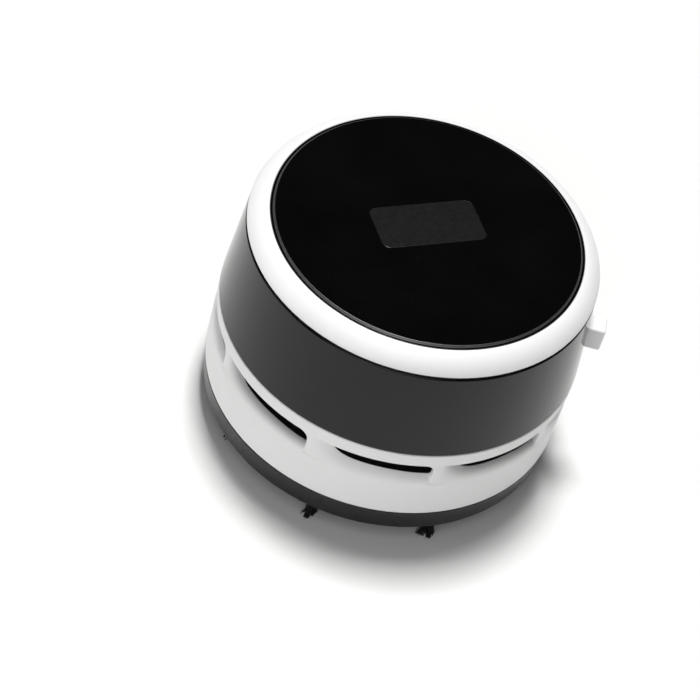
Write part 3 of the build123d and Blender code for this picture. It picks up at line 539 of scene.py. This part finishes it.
def skin(name, field, grid, finish, body, stands_for, wrap=True):
    """Meshes the surface where field is 0, on a grid that is finer where the shape has detail.
    field is negative inside the solid, in millimetres. Each cell that the surface passes through gets one vertex,
    pulled onto the surface, with its normal from the field itself."""
    out_of, into = (from_round, to_round) if wrap else (from_square, to_square)
    us, vs, ws = grid
    value = field(*np.meshgrid(us, vs, ws, indexing="ij"))
    if wrap:
        value = np.concatenate([value, value[:1]], 0)
        us = np.append(us, us[0] + 360.0)
    inside = value < 0
    nu, nv, nw = (n - 1 for n in value.shape)
    corners = [(a, b, c) for a in (0, 1) for b in (0, 1) for c in (0, 1)]
    total = sum(inside[a:nu + a, b:nv + b, c:nw + c].astype(np.int8) for a, b, c in corners)
    ci, cj, ck = np.nonzero((total > 0) & (total < 8))
    index = np.full((nu, nv, nw), -1, np.int64)
    index[ci, cj, ck] = np.arange(len(ci))
    at = {corner: value[ci + corner[0], cj + corner[1], ck + corner[2]] for corner in corners}
    gathered = np.zeros((len(ci), 3))
    crossings = np.zeros(len(ci))
    for axis in range(3):
        for corner in corners:
            if corner[axis]:
                continue
            far = tuple(1 if n == axis else corner[n] for n in range(3))
            a, b = at[corner], at[far]
            cut = (a < 0) != (b < 0)
            share = np.where(cut, a / np.where(cut, a - b, 1.0), 0.0)
            for n in range(3):
                gathered[:, n] += np.where(cut, share if n == axis else corner[n], 0.0)
            crossings += cut
    gathered /= crossings[:, None]
    u = us[ci] + gathered[:, 0] * (us[ci + 1] - us[ci])
    v = vs[cj] + gathered[:, 1] * (vs[cj + 1] - vs[cj])
    w = ws[ck] + gathered[:, 2] * (ws[ck + 1] - ws[ck])
    points = out_of(u, v, w)

    def slope(p, h=0.004):
        g = np.empty_like(p)
        for n in range(3):
            d = np.zeros(3)
            d[n] = h
            g[:, n] = (field(*into(p + d)) - field(*into(p - d))) / (2 * h)
        return g

    for _ in range(2):
        g = slope(points)
        step = (field(*into(points)) / np.maximum((g * g).sum(1), 0.25))[:, None] * g
        far = np.linalg.norm(step, axis=1, keepdims=True)
        points = points - step * np.minimum(1.0, 0.05 / np.maximum(far, 1e-9))
    normals = slope(points)
    normals /= np.maximum(np.linalg.norm(normals, axis=1, keepdims=True), 1e-9)

    faces = []
    # faces across the edges that run along each grid direction
    for axis in range(3):
        lo = [slice(0, n) for n in value.shape]
        hi = list(lo)
        lo[axis], hi[axis] = slice(0, value.shape[axis] - 1), slice(1, value.shape[axis])
        a, b = inside[tuple(lo)], inside[tuple(hi)]
        i, j, k = np.nonzero(a != b)
        leaves = a[i, j, k]
        o1, o2 = [n for n in range(3) if n != axis]
        place = [i, j, k]
        limits = (nu, nv, nw)
        good = np.ones(len(i), bool)
        for o in (o1, o2):
            if wrap and o == 0:
                good &= place[0] < nu
            else:
                good &= (place[o] > 0) & (place[o] < limits[o])
        place = [p[good] for p in place]
        leaves = leaves[good]

        def cell(d1, d2):
            q = list(place)
            q[o1] = q[o1] - d1
            q[o2] = q[o2] - d2
            if wrap:
                q[0] = q[0] % nu
            return index[q[0], q[1], q[2]]

        quad = np.stack([cell(1, 1), cell(0, 1), cell(0, 0), cell(1, 0)], -1)
        # quads run one way round seen from the far end of axes 0 and 2, the other way for axis 1
        flip = leaves if axis == 1 else ~leaves
        quad = np.where(flip[:, None], quad[:, ::-1], quad)
        faces.append(quad)
    faces = np.concatenate(faces)
    assert faces.min() >= 0, name
    return keep(name, points, faces, finish, body, stands_for, normals)


def spread(a, middle_of):
    """Signed angle in degrees from a direction."""
    return (a - middle_of + 180.0) % 360.0 - 180.0


def sector(a, r, middle_of, half):
    """Distance past the ends of an arc, in millimetres."""
    return np.radians(np.abs(spread(a, middle_of)) - half) * r


def block(r, z, r0, r1, z0, z1, k):
    return smax(smax(r0 - r, r - r1, k), smax(z0 - z, z - z1, k), k)


# ---------------------------------------------------------------- exhaust band
SCOOP_STOPS = [(-2.0, -0.4), (0.0, 0.0), (4.0, 1.2), (8.6, 2.6), (12.0, 3.2), (16.0, 3.5), (20.0, 3.65), (26.0, 3.9), (32.0, 4.45), (38.3, 4.85)]


def eased(stops, fine=0.05):
    """A smooth curve through the stops, without overshoot, as a table."""
    x = np.array([s[0] for s in stops])
    y = np.array([s[1] for s in stops])
    rise = np.diff(y) / np.diff(x)
    m = np.concatenate([[rise[0]], 2 * rise[:-1] * rise[1:] / (rise[:-1] + rise[1:]), [rise[-1]]])
    xs = np.arange(x[0], x[-1] + fine / 2, fine)
    i = np.clip(np.searchsorted(x, xs, side="right") - 1, 0, len(x) - 2)
    h = x[i + 1] - x[i]
    t = (xs - x[i]) / h
    ys = (y[i] * (1 + 2 * t) * (1 - t) ** 2 + m[i] * h * t * (1 - t) ** 2
          + y[i + 1] * t * t * (3 - 2 * t) + m[i + 1] * h * t * t * (t - 1))
    return xs, ys


SCOOP_X, SCOOP_Y = eased(SCOOP_STOPS)


def scoop(t, z, r):
    """One ramped recess: t degrees past its shallow end, under a level ceiling, ending in a wall across it."""
    d = np.interp(t, SCOOP_X, SCOOP_Y) + np.minimum(t + 2.0, 0.0) * 0.2
    h = (z - 22.2) / 6.2
    ramp = (42.72 + 0.0877 * d) * (1 - h) + (42.57 - d) * h
    lean = (1.0877 * d + 0.15) / 6.2
    cut = (ramp - r) / np.sqrt(1 + lean * lean)
    wall = np.radians(t - SCOOP_ARC) * r
    cut = smax(smax(cut, wall, 1.0), smax(z - 28.25, wall, 2.8), 0.5)
    return np.maximum(np.maximum(cut, 22.2 - z), np.radians(-2.0 - t) * r)


def band_field(a, z, r):
    outer = r - (42.5 + 0.12 * (z - 11.15) / 20.7)
    wall = smax(smax(outer, 11.15 - z, 0.5), z - 31.85, 0.4)
    wall = smax(wall, 41.0 - r, 0.15)
    t = (a - (SCOOP_END - SCOOP_ARC)) % 40.0
    cut = np.minimum(scoop(t, z, r), scoop(t - 40.0, z, r))
    k = 0.28 + 0.5 * np.clip((27.0 - z) / 4.0, 0.0, 1.0)
    wall = smax(wall, -cut, k)
    solid = smin(wall, block(r, z, 39.1, 41.3, 28.6, 30.2, 0.2), 0.15)
    for gate in (30.0, 150.0, 270.0):
        ledge = smax(block(r, z, 38.9, 41.3, 12.2, 13.8, 0.2), sector(a, r, gate + 60.0, 48.0), 0.2)
        stop = smax(block(r, z, 38.9, 41.3, 13.7, 15.7, 0.2), sector(a, r, gate + 35.05, 1.25), 0.2)
        solid = smin(solid, np.minimum(ledge, stop), 0.1)
    return solid


scoop_angles = np.concatenate([
    levels(0.0, (10.0, 0.33), (33.0, 0.62), (35.0, 0.3), (39.5, 0.12), (40.0, 0.25))[:-1] + SCOOP_END - SCOOP_ARC + 40.0 * k + 0.013
    for k in range(9)])
band_grid = (
    scoop_angles,
    levels(11.03, (11.75, 0.09), (12.1, 0.18), (12.5, 0.1), (13.5, 0.25), (14.1, 0.12), (15.4, 0.3), (15.95, 0.12), (21.9, 0.85),
           (24.2, 0.11), (27.4, 0.14), (28.9, 0.075), (30.0, 0.2), (30.5, 0.11), (31.35, 0.28), (31.95, 0.075)),
    levels(38.77, (39.4, 0.11), (40.8, 0.28), (41.5, 0.09), (42.0, 0.12), (42.72, 0.07)),
)
band = skin("exhaust_band", band_field, band_grid, "white_trim", "housing", ["exhaust_band"])
band.data.materials[0] = VENTED


# ---------------------------------------------------------------- body shell
BOSSES = (70.0, 110.0, 250.0, 290.0)


def shell_field(a, z, r):
    x, y = r * np.cos(np.radians(a)), r * np.sin(np.radians(a))
    taper = 42.62 - 2.12 * (z - 31.85) / 23.35
    outer = (r - taper) * 0.9959
    wall = smax(smax(outer, 31.85 - z, 0.45), z - 55.2, 0.45)
    wall = smax(wall, (taper - 1.8 - r) * 0.9959, 0.15)
    pad = smax(smax(pill(y, z - 43.0, 7.0, 9.5, 0.5), 38.7 - x, 0.2), outer + 0.3, 0.1)
    solid = smin(wall, pad, 0.3)
    for angle in BOSSES:
        ca, sa = math.cos(math.radians(angle)), math.sin(math.radians(angle))
        across, along = -x * sa + y * ca, x * ca + y * sa
        tower = smin(np.hypot(along - 36.6, across) - 2.6, pill(along - 39.0, across, 1.8, 0.8, 0.1), 0.6)
        tower = smax(smax(tower, 31.85 - z, 0.2), z - 39.0, 0.2)
        tower = smax(tower, outer + 0.4, 0.1)
        bore = smax(np.hypot(along - 36.6, across) - 0.95, z - 37.4, 0.1)
        solid = smax(smin(solid, tower, 0.3), -bore, 0.1)
    pocket = smax(pill(y, z - 43.05, 3.0, 5.65, 1.0), 40.2 - x, 0.25)
    pocket = smax(pocket, -x, 0.1)
    solid = smax(solid, -pocket, 0.3)
    slot = smax(pill(y, z - 41.95, 1.7, 3.6, 0.4), 30.0 - x, 0.1)
    solid = smax(solid, -slot, 0.15)
    for height in (34.9, 48.7):
        pilot = smax(smax(np.hypot(y, z - height) - 0.6, x - 39.7, 0.05), 30.0 - x, 0.1)
        solid = smax(solid, -pilot, 0.05)
    for gate in (60.0, 180.0, 300.0):
        ledge = smax(block(r, z, 37.3, 39.0, 52.4, 54.0, 0.2), sector(a, r, gate + 60.0, 48.0), 0.2)
        stop = smax(block(r, z, 37.3, 39.0, 50.7, 52.5, 0.2), sector(a, r, gate - 35.05, 1.25), 0.2)
        solid = smin(solid, np.minimum(ledge, stop), 0.15)
    return solid


def shell_angles():
    fine = [(-11.5, -5.0, 0.3), (-5.0, -1.8, 0.14), (-1.8, 1.8, 0.2), (1.8, 5.0, 0.14), (5.0, 11.5, 0.3)]
    fine += [(b - 4.6, b + 4.6, 0.33) for b in BOSSES]
    out = []
    for lo, hi, spacing in fine:
        out += list(np.arange(lo, hi - spacing / 2, spacing))
    edges = sorted((lo, hi) for lo, hi, _ in fine)
    edges.append((edges[0][0] + 360.0, 0.0))
    for (_, hi), (lo, _) in zip(edges[:-1], edges[1:]):
        if lo - hi > 0.2:
            count = int(math.ceil((lo - hi) / 0.95))
            out += list(hi + (lo - hi) * np.arange(count) / count)
    return np.unique(np.round(np.array(out) % 360.0, 5))


shell_grid = (
    shell_angles(),
    levels(31.73, (32.45, 0.09), (34.3, 0.3), (35.3, 0.11), (36.8, 0.3), (39.2, 0.12), (45.1, 0.3), (45.8, 0.13), (47.0, 0.3), (49.1, 0.12),
           (50.5, 0.35), (51.0, 0.12), (52.3, 0.2), (52.9, 0.11), (53.7, 0.2), (54.1, 0.11), (54.7, 0.2), (55.3, 0.075)),
    levels(33.87, (36.9, 0.34), (37.6, 0.13), (38.4, 0.2), (38.95, 0.11), (40.0, 0.2), (40.6, 0.085), (42.1, 0.17), (42.72, 0.085)),
)
skin("body_shell", shell_field, shell_grid, "black_gloss_shell", "housing", ["body_shell"])


# ---------------------------------------------------------------- dust tray
def tray_field(a, z, r):
    x, y = r * np.cos(np.radians(a)), r * np.sin(np.radians(a))
    side = (r - (42.05 + 0.45 * (z - 6.5) / 4.65)) * 0.995
    rim = smax(smax(side, 5.0 - z, 0.75), z - 11.15, 0.4)
    rim = smax(rim, 36.8 - r, 0.05)
    cup = block(r, z, 36.8, 38.4, 6.5, 19.0, 0.3)
    floor = smax(smax(6.0 - z, z - 7.6, 0.1), smax(10.0 - r, r - 37.2, 0.1), 0.1)
    lip = smax(smax(5.0 - z, z - 6.6, 0.1), smax(36.4 - (z - 5.0) * 0.8 - r, r - 37.2, 0.1), 0.1)
    pipe = block(r, z, 9.0, 10.4, 5.2, 15.0, 0.35)
    solid = smin(smin(rim, lip, 0.05), smin(cup, floor, 0.8), 0.4)
    solid = smin(solid, pipe, 0.7)
    t = (a + 103.4 + 20.0) % 40.0 - 20.0
    along, across = r * np.cos(np.radians(t)) - 38.9, r * np.sin(np.radians(t))
    socket = smax(np.hypot(along, across) - 1.5, z - 9.0, 0.2)
    solid = smax(solid, -socket, 0.25)
    for gate in (30.0, 150.0, 270.0):
        lug = smax(block(r, z, 38.1, 40.4, 13.9, 15.4, 0.3), sector(a, r, gate, 9.0), 0.3)
        solid = smin(solid, lug, 0.3)
    return solid


tuft_angles = np.concatenate([levels(-20.0, (-2.9, 0.9), (2.9, 0.29), (20.0, 0.9))[:-1] - 103.4 + 40.0 * k + 0.017 for k in range(9)])
tray_grid = (
    tuft_angles,
    levels(4.91, (5.5, 0.085), (6.6, 0.14), (7.9, 0.16), (8.8, 0.3), (9.2, 0.13), (10.6, 0.35), (11.25, 0.08), (13.7, 0.5),
           (14.2, 0.12), (15.1, 0.2), (15.6, 0.12), (18.4, 0.55), (19.1, 0.1)),
    levels(8.83, (9.3, 0.1), (10.1, 0.2), (11.2, 0.12), (35.2, 2.4), (37.2, 0.16), (38.2, 0.3), (38.8, 0.12), (40.1, 0.22), (40.6, 0.12),
           (41.4, 0.2), (42.62, 0.09)),
)
skin("dust_tray", tray_field, tray_grid, "tray_black", "tray", ["dust_tray"])


# ---------------------------------------------------------------- switch knob
def knob_field(x, y, z):
    body = smax(smax(pill(y, z - 41.3, 2.4, 3.2, 0.6), x - 45.6, 0.53), 40.5 - x, 0.25)
    for middle_z in (-1.6, 0.0, 1.6):
        groove = smax(pill(y, z - 41.3 - middle_z, 1.5, 0.35, 0.35), 45.15 - x, 0.15)
        body = smax(body, -groove, 0.2)
    stem = smax(pill(y, z - 40.2, 1.4, 1.5, 0.4), x - 42.5, 0.05)
    return smax(body, -stem, 0.1)


knob_grid = (
    levels(40.4, (41.0, 0.1), (42.2, 0.25), (42.7, 0.1), (44.2, 0.3), (45.7, 0.075)),
    levels(-2.49, (2.49, 0.083)),
    levels(38.01, (44.59, 0.078)),
)
skin("switch_knob", knob_field, knob_grid, "white_trim", "switch", ["switch_knob"], wrap=False)


# ---------------------------------------------------------------- lid ring, gasket
def domed(start, end, radius, bends=10):
    """Corners, rounded to radius, of an arc that bulges out from start up to end."""
    a, b = np.array(start), np.array(end)
    chord = b - a
    half = np.linalg.norm(chord) / 2
    inward = np.array((-chord[1], chord[0])) / (2 * half)
    centre = (a + b) / 2 + inward * math.sqrt(radius * radius - half * half)
    first = math.atan2(*(a - centre)[::-1])
    last = math.atan2(*(b - centre)[::-1])
    each = (last - first) / bends
    far = radius / math.cos(each / 2)
    return [(centre[0] + far * math.cos(first + each * (k + 0.5)), centre[1] + far * math.sin(first + each * (k + 0.5)), radius) for k in range(bends)]


lathe("lid_ring", [
    (36.9, 55.9, 0.15), (40.45, 55.9, 0.25), (40.45, 56.15, 0.2), *domed((40.45, 56.15), (36.12, 60.07), 6.22),
    (36.12, 60.07, 0.1), (35.97, 59.87, 0.1), (35.97, 58.4, 0.1), (36.9, 58.4, 0.1),
], "white_trim", "lid", ["lid_ring"], step=6.0)
lathe("lid_gasket", [
    (37.4, 55.2, 0.12), (40.2, 55.2, 0.3), (40.2, 55.9, 0.3), (37.4, 55.9, 0.12),
], "seal_rubber", "lid_collar", ["lid_gasket"])


# ---------------------------------------------------------------- lid panel with the label's pocket
LABEL_AT, LABEL_SIZE, LABEL_CORNER, LABEL_TURN = (-0.43, 0.84), (25.0, 12.3), 1.8, math.radians(27.0) + TURN


def label_outline(grow=0.0, pieces=10):
    """Corner-rounded rectangle of the label field, anticlockwise, in the row frame."""
    half_w, half_h = LABEL_SIZE[0] / 2 + grow, LABEL_SIZE[1] / 2 + grow
    corner = LABEL_CORNER + grow
    c0, s0 = math.cos(TURN), math.sin(TURN)
    cx, cy = LABEL_AT[0] * c0 - LABEL_AT[1] * s0, LABEL_AT[0] * s0 + LABEL_AT[1] * c0
    ct, st = math.cos(LABEL_TURN), math.sin(LABEL_TURN)
    out = []
    for quarter, (sx, sy) in enumerate(((1, 1), (-1, 1), (-1, -1), (1, -1))):
        for k in range(pieces + 1):
            turn = math.radians(90.0 * quarter + 90.0 * k / pieces)
            x = sx * (half_w - corner) + corner * math.cos(turn)
            y = sy * (half_h - corner) + corner * math.sin(turn)
            out.append((cx + x * ct - y * st, cy + x * st + y * ct))
    return out


def stack(bm, outline, heights_and_grow):
    """Rings of vertices that follow one outline, offset and raised, joined by quads."""
    rings = []
    for height, grow in heights_and_grow:
        rings.append([bm.verts.new((x * MM, y * MM, height * MM)) for x, y in outline(grow)])
    for low, high in zip(rings[:-1], rings[1:]):
        for i in range(len(low)):
            j = (i + 1) % len(low)
            bm.faces.new((low[i], low[j], high[j], high[i]))
    return rings


def from_bmesh(name, bm, finish, body, stands_for, sharp=30.0):
    bmesh.ops.recalc_face_normals(bm, faces=bm.faces[:])
    mesh = bpy.data.meshes.new(name)
    bm.to_mesh(mesh)
    bm.free()
    mesh.materials.append(FINISH[finish])
    for polygon in mesh.polygons:
        polygon.use_smooth = True
    mesh.set_sharp_from_angle(angle=math.radians(sharp))
    piece = bpy.data.objects.new(name, mesh)
    bpy.context.scene.collection.objects.link(piece)
    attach(piece, body)
    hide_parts(*stands_for)
    return piece


def disc_outline(grow, count=288):
    return [((35.9 + grow) * math.cos(2 * math.pi * k / count), (35.9 + grow) * math.sin(2 * math.pi * k / count)) for k in range(count)]


bm = bmesh.new()
rings = stack(bm, disc_outline, [(58.4, -0.08), (58.48, 0.0), (59.92, 0.0), (59.965, -0.015), (59.98, -0.05), (59.98, -0.10),
                                 (59.98, -0.50), (59.98, -0.55), (59.99, -0.60), (60.29, -0.90), (60.31, -0.93), (60.32, -0.98), (60.32, -1.06)])
bm.faces.new(list(reversed(rings[0])))
pocket = stack(bm, label_outline, [(60.32, 0.10), (60.32, 0.03), (60.29, 0.0), (60.02, 0.0)])
bm.faces.new(pocket[-1])
edge_loops = []
for loop in (rings[-1], pocket[0]):
    for i in range(len(loop)):
        edge_loops.append(bm.edges.get((loop[i], loop[(i + 1) % len(loop)])))
bmesh.ops.triangle_fill(bm, edges=edge_loops, use_beauty=True, normal=(0.0, 0.0, 1.0))
from_bmesh("lid_disc", bm, "black_lid_panel", "lid", ["lid_disc"], sharp=24.0)

bm = bmesh.new()
plate = stack(bm, lambda g: label_outline(g), [(60.02, -0.05), (60.31, -0.05), (60.35, -0.075), (60.37, -0.14), (60.37, -0.22)])
bm.faces.new(list(reversed(plate[0])))
bm.faces.new(plate[-1])
from_bmesh("label_plate", bm, "label_grey", "lid", ["label_plate"], sharp=50.0)


# ---------------------------------------------------------------- brush tufts
# Where the locks of a worn tuft end, from the middle of its root: outwards, round the tray, and their share.
LOCKS = {
    0: [(2.6, -0.45, 4), (2.35, 0.15, 4), (1.3, -1.1, 3), (-0.1, 1.05, 3), (1.3, 0.75, 3), (0.2, -0.3, 4), (1.9, -2.2, 0.35)],
    1: [(0.9, -2.35, 1.2), (1.25, -1.75, 1.5), (1.65, -1.1, 2), (2.55, 0.15, 5), (2.0, 1.0, 2.5), (1.95, 1.65, 0.5), (0.2, 0.2, 4)],
    8: [(1.35, -0.3, 0.3), (0.8, -0.8, 0.5), (-1.1, 0.6, 4), (-1.4, -0.4, 5), (-0.6, 0.1, 4)],
}


def bristles(seed=11, per_tuft=92, sides=5, rows=7):
    """Nine bundles of nylon bristles, pinched in their sockets and bent into locks by use where they meet the desk."""
    rng = random.Random(seed)
    points, faces = [], []
    for tuft in range(9):
        middle_angle = math.radians(-103.4 + 40.0 * tuft) + TURN
        ca, sa = math.cos(middle_angle), math.sin(middle_angle)
        cx, cy = 38.9 * ca, 38.9 * sa
        locks = LOCKS.get(tuft)
        if locks is None:
            lean = rng.uniform(-0.2, 0.9), rng.uniform(-0.7, 0.7)
            locks = [(0.2, 0.0, 4)]
            start = rng.uniform(0.0, 1.0)
            for k in range(6):
                turn = 2 * math.pi * (k + start + rng.uniform(-0.25, 0.25)) / 6
                far = rng.uniform(0.9, 1.8)
                locks.append((lean[0] + far * math.cos(turn), lean[1] + far * math.sin(turn), rng.uniform(1.0, 4.0)))
        total = sum(lock[2] for lock in locks)
        for number in range(per_tuft):
            root_r, root_a = 1.3 * math.sqrt(rng.random()), rng.uniform(0, 2 * math.pi)
            root_out, root_round = root_r * math.cos(root_a), root_r * math.sin(root_a)
            pick = rng.uniform(0.0, total)
            for out, round_, share in locks:
                pick -= share
                if pick <= 0.0:
                    break
            loose = 0.10 + 0.14 * rng.random()
            tip_out = out + root_out * 0.22 + rng.gauss(0, loose)
            tip_round = round_ + root_round * 0.22 + rng.gauss(0, loose)
            reach = math.hypot(tip_out, tip_round)
            if reach > 2.95:
                tip_out, tip_round = tip_out * 2.95 / reach, tip_round * 2.95 / reach
            tip_z = 0.06 + min(1.2, abs(rng.gauss(0, 0.3))) + 0.12 * max(0.0, reach - 1.8)
            thick = rng.uniform(0.085, 0.12)
            curl = rng.uniform(-0.12, 0.12), rng.uniform(-0.12, 0.12)
            line = []
            for k in range(rows):
                s = k / (rows - 1)
                ease = s ** 1.5
                wave = math.sin(math.pi * s)
                o = root_out + (tip_out - root_out) * ease + curl[0] * wave
                t = root_round + (tip_round - root_round) * ease + curl[1] * wave
                line.append(Vector((cx + o * ca - t * sa, cy + o * sa + t * ca, 7.4 + (tip_z - 7.4) * s)))
            first = len(points)
            for k, p in enumerate(line):
                along = (line[min(k + 1, rows - 1)] - line[max(k - 1, 0)]).normalized()
                e1 = along.cross(Vector((math.cos(root_a), math.sin(root_a), 0.0))).normalized()
                e2 = along.cross(e1)
                width = thick * (1.0 - 0.35 * (k / (rows - 1)) ** 3)
                for side_k in range(sides):
                    turn = 2 * math.pi * side_k / sides
                    q = p + (e1 * math.cos(turn) + e2 * math.sin(turn)) * width
                    points.append((q.x, q.y, max(q.z, 0.012)))
            for k in range(rows - 1):
                for side_k in range(sides):
                    n = (side_k + 1) % sides
                    a = first + k * sides
                    faces.append([a + side_k, a + n, a + sides + n, a + sides + side_k])
            faces.append([first + k for k in range(sides)][::-1])
            faces.append([first + (rows - 1) * sides + k for k in range(sides)])
    return points, faces


tuft_points, tuft_faces = bristles()
keep("brush_tufts", tuft_points, tuft_faces, "bristle", "tray", ["brush_tufts"])


# ---------------------------------------------------------------- floor
def pale_floor():
    n = Nodes("pale_floor")
    n.colour(n.ramp(n.noise(60.0, 4.0, 0.5), [(0.3, (0.86, 0.855, 0.85)), (0.7, (0.875, 0.87, 0.865))]))
    n.roughness(n.remap(n.noise(6.0, 3.0), 0.3, 0.7, 0.75, 0.9))
    n.set(Specular_IOR_Level=0.2)
    return n.material


bm = bmesh.new()
bmesh.ops.create_grid(bm, x_segments=24, y_segments=24, size=3.0)
floor_mesh = bpy.data.meshes.new("floor")
bm.to_mesh(floor_mesh)
bm.free()
floor_mesh.materials.append(pale_floor())
floor = bpy.data.objects.new("floor", floor_mesh)
bpy.context.scene.collection.objects.link(floor)
